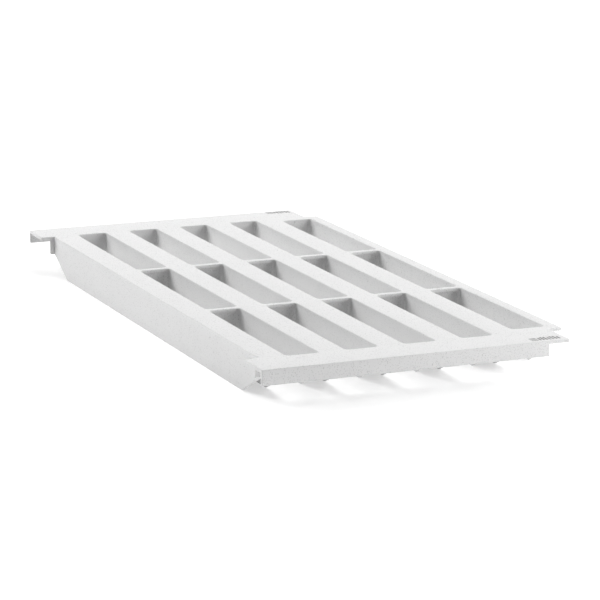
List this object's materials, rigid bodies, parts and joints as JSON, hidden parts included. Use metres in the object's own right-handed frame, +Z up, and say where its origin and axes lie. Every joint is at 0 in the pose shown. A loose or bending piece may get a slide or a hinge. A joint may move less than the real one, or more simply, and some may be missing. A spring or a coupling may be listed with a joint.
{
  "type": "slotted tray",
  "caption": "Flat pale plastic tray with long open slots, deep walls under it and a hooked, offset flange at each end that hangs on a frame's rails.",
  "frame": {"origin": "under the middle of the tray's outer box, level with the long walls' lowest edges", "axes": "+Y along the slots to the back, +X to the tray's right, +Z up"},
  "size_m": [0.2988, 0.6, 0.037],
  "materials": {
    "speckled_plastic": "semi-matte moulded plastic, off-white with fine grey speckle"
  },
  "bodies": {
    "root": {"deck_sheet": "speckled_plastic", "left_side_skirt": "speckled_plastic", "slot_1_left_wall": "speckled_plastic", "slot_1_right_wall": "speckled_plastic", "slot_2_left_wall": "speckled_plastic", "slot_2_right_wall": "speckled_plastic", "slot_3_left_wall": "speckled_plastic", "slot_3_right_wall": "speckled_plastic", "slot_4_left_wall": "speckled_plastic", "slot_4_right_wall": "speckled_plastic", "slot_5_left_wall": "speckled_plastic", "slot_5_right_wall": "speckled_plastic", "front_cross_wall_1": "speckled_plastic", "back_cross_wall_1": "speckled_plastic", "front_cross_wall_2": "speckled_plastic", "back_cross_wall_2": "speckled_plastic", "front_cross_wall_3": "speckled_plastic", "back_cross_wall_3": "speckled_plastic", "front_cross_wall_4": "speckled_plastic", "back_cross_wall_4": "speckled_plastic", "front_cross_wall_5": "speckled_plastic", "back_cross_wall_5": "speckled_plastic", "front_slot_5_end_wall": "speckled_plastic", "back_slot_5_end_wall": "speckled_plastic", "front_end_wall": "speckled_plastic", "back_end_wall": "speckled_plastic", "front_end_skirt": "speckled_plastic", "back_end_skirt": "speckled_plastic"}
  },
  "joints": []
}
